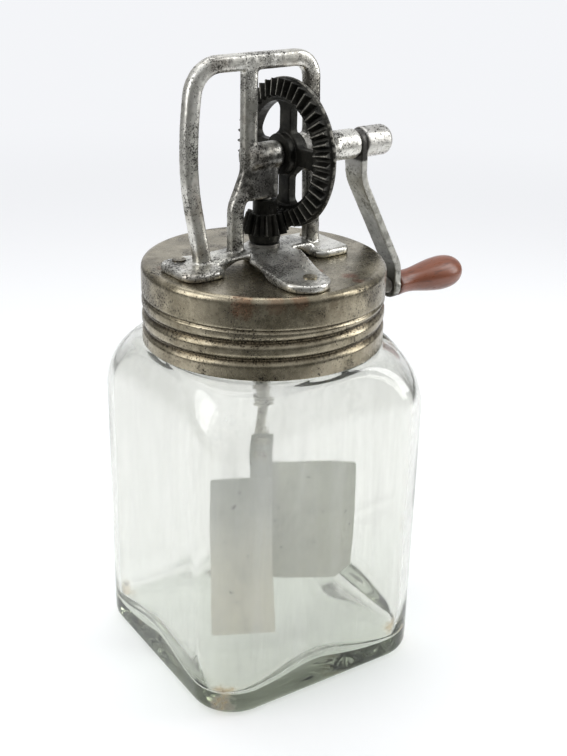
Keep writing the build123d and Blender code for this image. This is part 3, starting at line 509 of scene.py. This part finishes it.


# ================================================================ materials
# Spots are a place, a radius in millimetres and a strength.
# On the casting the spots are near black round the gear block and beside the gears: painted shade from the
# gears, together with greasy dirt.
grease_and_shade = (
    ((-2.0, 0.0, AXLE_Z - 8.0), 17.0, 0.85),
    ((2.0, 0.0, AXLE_Z - 24.0), 17.0, 0.9),
    ((17.0, 0.0, AXLE_Z - 6.0), 14.0, 0.6),
    ((14.0, 0.0, LID_TOP + 14.0), 15.0, 0.7),
    ((-12.0, 3.0, LID_TOP + 6.0), 9.0, 0.6),
    ((19.0, 0.0, LID_TOP + 40.0), 13.0, 0.5),
)
frame_paint = aged_metal("worn_plated_casting", (0.82, 0.81, 0.76), (0.52, 0.51, 0.46), pit_share=0.56,
                         rough=(0.24, 0.42), stain_share=0.55, spots=grease_and_shade,
                         spot_colour=(0.022, 0.020, 0.017), pit_scale=1500.0)
dress([cast_frame], frame_paint.material)

lid_spots = (
    ((14.4, -34.2, LID_TOP), 4.0, 0.9),
    ((13.2, -40.2, LID_TOP), 3.0, 0.8),
    ((8.7, -23.5, LID_TOP), 2.0, 0.8),
    ((-16.0, -44.0, LID_TOP - 1.0), 4.5, 0.45),
    ((-33.0, -33.0, LID_TOP - 3.0), 6.0, 0.5),
    ((-37.7, 10.7, LID_TOP), 4.0, 0.4),
    ((-24.0, -40.0, LID_TOP - 2.0), 5.0, 0.4),
)


def thread_dirt(paint, colour, fine):
    """Brown dirt and pits where the lid's wall lies inside its full radius."""
    flat = paint.put("ShaderNodeCombineXYZ", _0=paint.part("X"), _1=paint.part("Y"), _2=0.0)
    flat = flat.outputs[0]
    radius = paint.length(flat)
    wall = paint.span(paint.part("Z"), (LID_TOP - 9.0) * MM, (LID_TOP - 11.5) * MM)
    uneven = paint.maths("ADD", radius, paint.maths("MULTIPLY", fine, 0.7 * MM))
    deep = paint.span(uneven, LID_RADIUS * MM, (LID_RADIUS - 0.8) * MM)
    dirt = paint.maths("MULTIPLY", paint.maths("MULTIPLY", wall, deep), 0.8)
    colour = paint.blend(dirt, colour, (0.085, 0.065, 0.038))
    grains = paint.span(paint.noise(1500.0, 3.0, 0.6), 0.52, 0.56)
    grains = paint.maths("MULTIPLY", grains, paint.maths("MULTIPLY", wall, deep))
    return paint.blend(paint.maths("MULTIPLY", grains, 0.85), colour, (0.02, 0.016, 0.012))


lid_paint = aged_metal("tarnished_lid_sheet", (0.37, 0.33, 0.245), (0.20, 0.175, 0.12), pit_share=0.615,
                       rough=(0.20, 0.34), stain=(0.11, 0.085, 0.052), stain_share=0.65, spots=lid_spots,
                       spot_colour=(0.20, 0.085, 0.04), pit_scale=1500.0,
                       patina_colour=(0.09, 0.078, 0.055), hollows=thread_dirt)
dress([lid, "foot_rivets"], lid_paint.material)

steel_paint = aged_metal("dull_steel", (0.36, 0.35, 0.33), (0.20, 0.19, 0.175), pit_share=0.62,
                         rough=(0.3, 0.55))
dress(["gear_shaft", "spindle_bush", "grip_pin"], steel_paint.material)

stem_paint = aged_metal("tinned_stem", (0.72, 0.71, 0.66), (0.48, 0.46, 0.41), pit_share=0.60,
                        rough=(0.35, 0.6), metal=0.6)
dress(["dasher_spindle", "coupling_sleeve", "dasher_rod", "blade_rivets"], stem_paint.material)


def gear_material(name, cone_angle, along_x):
    """Blackened teeth whose tips are rubbed bright by wear; height over the pitch cone finds the tips."""
    paint = Paint(name)
    x, y = paint.part("X"), paint.part("Y")
    z = paint.maths("SUBTRACT", paint.part("Z"), AXLE_Z * MM)
    if along_x:
        axial = x
        out = paint.put("ShaderNodeCombineXYZ", _0=0.0, _1=y, _2=z).outputs[0]
    else:
        axial = paint.maths("MULTIPLY", z, -1.0)
        out = paint.put("ShaderNodeCombineXYZ", _0=x, _1=y, _2=0.0).outputs[0]
    radial = paint.length(out)
    rise = paint.maths("SUBTRACT", paint.maths("MULTIPLY", radial, math.cos(cone_angle)),
                       paint.maths("MULTIPLY", axial, math.sin(cone_angle)))
    reach = paint.maths("ADD", paint.maths("MULTIPLY", radial, math.sin(cone_angle)),
                        paint.maths("MULTIPLY", axial, math.cos(cone_angle)))
    share = paint.maths("DIVIDE", rise, reach)
    scuff = paint.noise(500.0, 5.0, 0.7)
    tips = paint.span(paint.maths("ADD", share, paint.maths("MULTIPLY", scuff, 0.02)), 0.050, 0.062)
    cloud = paint.noise(160.0, 5.0, 0.65)
    colour = paint.blend(paint.span(cloud, 0.35, 0.7), (0.012, 0.012, 0.010), (0.045, 0.043, 0.036))
    wear_and_highlight = paint.maths("MULTIPLY", tips, paint.span(cloud, 0.3, 0.55, 0.35, 1.0))
    if along_x:
        rim = paint.span(radial, 27.35 * MM, 27.7 * MM)
        wear_and_highlight = paint.maths("MAXIMUM", wear_and_highlight, paint.maths("MULTIPLY", rim, paint.span(scuff, 0.42, 0.6)))
    colour = paint.blend(wear_and_highlight, colour, (0.26, 0.25, 0.22))
    specks = paint.span(paint.noise(1300.0, 3.0, 0.6), 0.66, 0.70)
    colour = paint.blend(paint.maths("MULTIPLY", specks, 0.4), colour, (0.20, 0.19, 0.16))
    paint.set("Base Color", colour)
    paint.set("Metallic", 0.75)
    paint.set("Roughness", paint.span(scuff, 0.3, 0.7, 0.32, 0.58))
    paint.set("Normal", paint.bump(scuff, 0.5, 0.15))
    return paint.material


dress([cast_gear, "gear_pin"], gear_material("blackened_gear", math.atan(GEAR_RATIO), True))
dress([cast_pinion, "pinion_pin"], gear_material("blackened_pinion", math.atan(1 / GEAR_RATIO), False))


def arm_material():
    """Plated at the hub and darker towards the grip, with a painted highlight along the side edges and
    painted shade in the neck by the boss.
    """
    paint = aged_metal("worn_crank", (0.74, 0.73, 0.70), (0.48, 0.47, 0.44), pit_share=0.585,
                       rough=(0.28, 0.5))
    plated = paint.shader.inputs["Base Color"].links[0].from_socket
    ragged = paint.maths("MULTIPLY", paint.noise(90.0, 4.0, 0.6), 0.03)
    lower = paint.span(paint.maths("ADD", paint.part("Z"), ragged), 0.210, 0.168)
    shade = paint.blend(lower, (0.37, 0.365, 0.32), (0.055, 0.053, 0.043))
    mask = paint.maths("MULTIPLY", paint.span(paint.part("Z"), 0.199, 0.192), 0.93)
    colour = paint.blend(mask, plated, shade)
    # A painted highlight along the arm's side edges, broken up by noise.
    edge = paint.span(paint.maths("ABSOLUTE", paint.part("Y")), 4.1 * MM, 4.7 * MM)
    wear_and_highlight = paint.maths("MULTIPLY", edge, paint.span(paint.noise(260.0, 4.0, 0.7), 0.40, 0.60, 0.2, 0.8))
    colour = paint.blend(wear_and_highlight, colour, (0.60, 0.59, 0.54))
    # The neck next to the boss end is painted near black: painted shade of the gap there, together with
    # grime.
    neck = paint.maths("MULTIPLY", paint.span(paint.part("X"), 45.6 * MM, 45.0 * MM),
                       paint.span(paint.part("Z"), 0.1995, 0.2005))
    colour = paint.blend(paint.maths("MULTIPLY", neck, 0.9), colour, (0.03, 0.028, 0.025))
    paint.set("Base Color", colour)
    return paint.material


dress([cast_arm], arm_material())


def wood_material():
    paint = Paint("waxed_wood")
    grain_place = paint.stretched(0.12, 1.0, 1.0)
    grain = paint.noise(900.0, 5.0, 0.6, grain_place)
    broad = paint.noise(160.0, 3.0, 0.5, grain_place)
    colour = paint.blend(paint.span(broad, 0.3, 0.7), (0.16, 0.045, 0.020), (0.25, 0.080, 0.038))
    veins = paint.maths("MULTIPLY", paint.span(grain, 0.52, 0.72), 0.55)
    colour = paint.blend(veins, colour, (0.035, 0.012, 0.008))
    end = paint.span(paint.part("X"), (GRIP_START + 3.2) * MM, GRIP_START * MM)
    colour = paint.blend(paint.maths("MULTIPLY", end, 0.6), colour, (0.06, 0.025, 0.015))
    paint.set("Base Color", colour)
    paint.set("Roughness", paint.span(grain, 0.3, 0.7, 0.26, 0.42))
    paint.set("Coat Weight", 0.2)
    paint.set("Coat Roughness", 0.22)
    paint.set("Normal", paint.bump(grain, 0.25, 0.08))
    return paint.material


dress([grip], wood_material())


def blade_material(name, top_colour, bottom_colour, top, bottom):
    """Tinned sheet, dull, shading from top to bottom, with a few dark specks."""
    paint = Paint(name)
    cloud = paint.noise(55.0, 6.0, 0.65)
    fine = paint.noise(600.0, 5.0, 0.7)
    colour = paint.blend(paint.span(paint.part("Z"), top * MM, bottom * MM), top_colour, bottom_colour)
    dull = paint.maths("MULTIPLY", paint.span(cloud, 0.4, 0.7), 0.35)
    colour = paint.blend(dull, colour, (0.36, 0.35, 0.33))
    grains = paint.maths("ADD", paint.noise(420.0, 2.0, 0.5), paint.maths("MULTIPLY", cloud, 0.2))
    specks = paint.span(grains, 0.80, 0.84)
    colour = paint.blend(paint.maths("MULTIPLY", specks, 0.8), colour, (0.07, 0.06, 0.05))
    paint.set("Base Color", colour)
    paint.set("Metallic", 0.45)
    paint.set("Roughness", paint.span(fine, 0.3, 0.7, 0.5, 0.68))
    paint.set("Normal", paint.bump(cloud, 0.3, 0.5, paint.bump(fine, 0.3, 0.08)))
    return paint.material


dress(["blade_left"],
      blade_material("tinned_sheet_left", (0.56, 0.57, 0.54), (0.74, 0.71, 0.60), 75.0, 20.0))
dress(["blade_right"],
      blade_material("tinned_sheet_right", (0.66, 0.67, 0.60), (0.60, 0.60, 0.52), 80.0, 25.0))


STAIN_OUT = 60.0
STAIN_HEIGHT = 6.0
STAIN_RADIUS = 7.5
GLASS_TINT = (0.66, 0.685, 0.62, 1.0)
GLASS_DENSITY = 42.0
GLASS_IOR = 1.5


def glass_material():
    """Clear pressed glass: stained lower corners, a hazy shoulder, a filmy coat with upright streaks that
    is thicker towards -X and is partly painted reflection, and fine scuffs. Shadow rays pass, so lamps
    light what is inside."""
    paint = Paint("scuffed_clear_glass")
    ragged = paint.noise(260.0, 5.0, 0.7)
    turns = [math.radians(45 + 90 * corner) + JAR_TURN for corner in range(4)]
    stain = paint.strongest([
        paint.near((STAIN_OUT * math.cos(t), STAIN_OUT * math.sin(t), STAIN_HEIGHT), STAIN_RADIUS, ragged)
        for t in turns
    ])
    stain = paint.maths("MULTIPLY", stain, 0.8)
    haze_and_reflection = paint.maths("MULTIPLY", paint.span(paint.part("Z"), 0.100, 0.126),
                       paint.span(paint.noise(60.0, 6.0, 0.75), 0.46, 0.72))
    haze_and_reflection = paint.maths("MULTIPLY", haze_and_reflection, 0.30)
    # The upright streaks and their thickening towards -X make the glass cloudy white: partly a filmy coat
    # on the glass, partly painted reflections down that side.
    streaks = paint.span(paint.noise(130.0, 4.0, 0.65, paint.stretched(1.0, 1.0, 0.12)), 0.42, 0.72)
    film_and_reflection_side = paint.span(paint.part("X"), 0.012, -0.030, 0.035, 0.10)
    film_and_reflection = paint.maths("ADD", paint.maths("MULTIPLY", streaks, 0.10), film_and_reflection_side)
    film_and_reflection = paint.maths("MULTIPLY", film_and_reflection, paint.span(paint.part("Z"), 0.008, 0.022))
    haze_and_reflection = paint.maths("MAXIMUM", haze_and_reflection, film_and_reflection)
    scuffs = paint.span(paint.noise(700.0, 3.0, 0.6), 0.70, 0.74)
    paint.set("Base Color", paint.blend(stain, (0.975, 0.975, 0.955), (0.55, 0.36, 0.13)))
    cloudy = paint.maths("MAXIMUM", haze_and_reflection, paint.maths("MULTIPLY", stain, 0.5))
    clear = paint.maths("SUBTRACT", 1.0, cloudy)
    paint.set("Transmission Weight", clear)
    rough = paint.maths("MAXIMUM", paint.maths("MULTIPLY", scuffs, 0.12),
                        paint.maths("MULTIPLY", haze_and_reflection, 0.5))
    paint.set("Roughness", rough)
    paint.set("IOR", GLASS_IOR)
    slow = paint.noise(28.0, 2.0, 0.5)
    paint.set("Normal", paint.bump(slow, 0.2, 0.8))
    absorb = paint.put("ShaderNodeVolumeAbsorption")
    absorb.inputs["Color"].default_value = GLASS_TINT
    absorb.inputs["Density"].default_value = GLASS_DENSITY
    output = paint.tree.nodes["Material Output"]
    paint.tree.links.new(absorb.outputs[0], output.inputs["Volume"])
    passing = paint.put("ShaderNodeBsdfTransparent", Color=(0.90, 0.92, 0.91))
    lamps = paint.put("ShaderNodeLightPath").outputs["Is Shadow Ray"]
    mixed = paint.put("ShaderNodeMixShader", _0=lamps, _1=paint.shader.outputs[0], _2=passing.outputs[0])
    paint.tree.links.new(mixed.outputs[0], output.inputs["Surface"])
    return paint.material


dress([jar], glass_material())


# ================================================================ floor, light, camera
PALE = (0.905, 0.915, 0.94)
AHEAD = Vector((0.606, 0.796, 0.0))     # from the camera over the table, level
SIDEWAYS = Vector((0.796, -0.606, 0.0))


def along(paint, axis):
    """How far the surface point or ray lies along a level direction."""
    return paint.put("ShaderNodeVectorMath", {"operation": "DOT_PRODUCT"}, _0=paint.place,
                     _1=tuple(axis)).outputs["Value"]


def build_floor():
    """A white sheet that darkens outside the picture for rays that don't come from the camera; seen
    directly it goes over into the backdrop."""
    mesh = bpy.data.meshes.new("floor")
    reach = 6.0
    corners = [(-reach, -reach, 0), (reach, -reach, 0), (reach, reach, 0), (-reach, reach, 0)]
    mesh.from_pydata(corners, [], [(0, 1, 2, 3)])
    floor = bpy.data.objects.new("floor", mesh)
    floor.location.z = -0.0002
    bpy.context.scene.collection.objects.link(floor)
    paint = Paint("pale_floor")
    forward = along(paint, AHEAD)
    aside = paint.maths("ABSOLUTE", along(paint, SIDEWAYS))
    radius = paint.length(paint.place)
    rays = paint.put("ShaderNodeLightPath").outputs
    bare = paint.maths("MAXIMUM", paint.span(forward, -0.18, -0.36), paint.span(aside, 0.42, 0.75))
    bare = paint.maths("MULTIPLY", bare, paint.maths("SUBTRACT", 1.0, rays["Is Camera Ray"]))
    paint.set("Base Color", paint.blend(bare, (0.94, 0.945, 0.95), (0.13, 0.13, 0.12)))
    paint.set("Roughness", 0.6)
    paint.set("Specular IOR Level", 0.2)
    glow = paint.put("ShaderNodeEmission", Color=PALE, Strength=1.0)
    shown = paint.maths("MULTIPLY", paint.span(radius, 0.35, 1.1), rays["Is Camera Ray"])
    through = paint.maths("MAXIMUM", rays["Is Glossy Ray"], rays["Is Transmission Ray"])
    behind = paint.maths("MULTIPLY", paint.span(forward, 0.30, 0.70), through)
    behind = paint.maths("MULTIPLY", behind, paint.span(aside, 0.90, 0.40))
    mixed = paint.put("ShaderNodeMixShader", _0=paint.maths("MAXIMUM", shown, behind),
                      _1=paint.shader.outputs[0], _2=glow.outputs[0])
    paint.tree.links.new(mixed.outputs[0], paint.tree.nodes["Material Output"].inputs["Surface"])
    mesh.materials.append(paint.material)


def build_world():
    """Pale behind the jar and overhead, dimmer towards the room; seen directly it is all pale."""
    world = bpy.data.worlds.new("studio")
    bpy.context.scene.world = world
    world.use_nodes = True
    tree = world.node_tree

    def put(kind, operation=None, **inputs):
        node = tree.nodes.new(kind)
        if operation:
            node.operation = operation
        for key, value in inputs.items():
            if isinstance(value, bpy.types.NodeSocket):
                tree.links.new(value, node.inputs[int(key[1:])])
            else:
                node.inputs[int(key[1:])].default_value = value
        return node

    direction = put("ShaderNodeTexCoord").outputs["Generated"]

    def toward(axis, low, high):
        """1 for rays along this direction, 0 away from it."""
        share = put("ShaderNodeVectorMath", "DOT_PRODUCT", _0=direction, _1=tuple(axis)).outputs["Value"]
        node = put("ShaderNodeMapRange", None, _0=share, _1=low, _2=high)
        node.interpolation_type = "SMOOTHSTEP"
        return node.outputs[0]

    backdrop = toward(AHEAD, 0.55, 0.90)
    above = toward((0.0, 0.0, 1.0), 0.15, 0.80)
    above = put("ShaderNodeMath", "MULTIPLY", _0=above, _1=0.85).outputs[0]
    level = put("ShaderNodeMath", "MAXIMUM", _0=backdrop, _1=above).outputs[0]
    rays = put("ShaderNodeLightPath").outputs["Is Camera Ray"]
    level = put("ShaderNodeMath", "MAXIMUM", _0=level, _1=rays).outputs[0]
    shade = tree.nodes.new("ShaderNodeMix")
    shade.data_type = "RGBA"
    tree.links.new(level, shade.inputs[0])
    shade.inputs[6].default_value = (0.15, 0.15, 0.145, 1.0)
    shade.inputs[7].default_value = (*PALE, 1.0)
    tree.links.new(shade.outputs[2], tree.nodes["Background"].inputs["Color"])
    tree.nodes["Background"].inputs["Strength"].default_value = 1.0


def area_light(name, place, target, size, power):
    lamp = bpy.data.lights.new(name, "AREA")
    lamp.shape = "RECTANGLE"
    lamp.size, lamp.size_y = size
    lamp.energy = power
    holder = bpy.data.objects.new(name, lamp)
    holder.location = place
    holder.rotation_mode = "QUATERNION"
    holder.rotation_quaternion = (Vector(target) - Vector(place)).to_track_quat("-Z", "Y")
    bpy.context.scene.collection.objects.link(holder)


build_floor()
build_world()
area_light("soft_left", (-0.66, 0.20, 0.50), (0, 0, 0.14), (0.40, 0.66), 2.6)
area_light("soft_right", (0.58, -0.36, 0.42), (0, 0, 0.14), (0.22, 0.66), 2.6)
area_light("soft_top", (0.05, 0.30, 1.0), (0, 0, 0.1), (0.7, 0.7), 2.35)


CAMERA_PLACE = (-0.25369, -0.34728, 0.3035)
CAMERA_YAW, CAMERA_PITCH, CAMERA_ROLL, CAMERA_TURN = 1.14, 23.45, 1.38, 36.15     # degrees
FOCAL_PIXELS = 1172.72
PICTURE_HEIGHT = 756
SENSOR = 36.0


def build_camera():
    """Stands where the photograph was taken from; the picture's long side fills the sensor."""
    yaw, pitch, roll, turn = (math.radians(v) for v in (CAMERA_YAW, CAMERA_PITCH, CAMERA_ROLL, CAMERA_TURN))

    def to_frame(v):
        return Vector((v[0] * math.cos(turn) + v[1] * math.sin(turn),
                       -v[0] * math.sin(turn) + v[1] * math.cos(turn), v[2]))

    forward = to_frame((math.sin(yaw) * math.cos(pitch), math.cos(yaw) * math.cos(pitch),
                        -math.sin(pitch)))
    level_right = to_frame((math.cos(yaw), -math.sin(yaw), 0))
    up = level_right.cross(forward)
    right = level_right * math.cos(roll) + up * math.sin(roll)
    up = up * math.cos(roll) - level_right * math.sin(roll)
    data = bpy.data.cameras.new("camera")
    data.sensor_width = SENSOR
    data.lens = FOCAL_PIXELS / PICTURE_HEIGHT * SENSOR
    data.clip_start = 0.01
    data.clip_end = 50.0
    camera = bpy.data.objects.new("camera", data)
    axes = Matrix((right, up, -forward)).transposed().to_4x4()
    camera.matrix_world = Matrix.Translation(CAMERA_PLACE) @ axes
    bpy.context.scene.collection.objects.link(camera)
    bpy.context.scene.camera = camera


build_camera()
bpy.context.scene.view_settings.view_transform = "Standard"
# Light turns back inside the thick glass base many times, so it needs more bounces than usual.
bpy.context.scene.cycles.max_bounces = 20
bpy.context.scene.cycles.glossy_bounces = 14
bpy.context.scene.cycles.transmission_bounces = 18
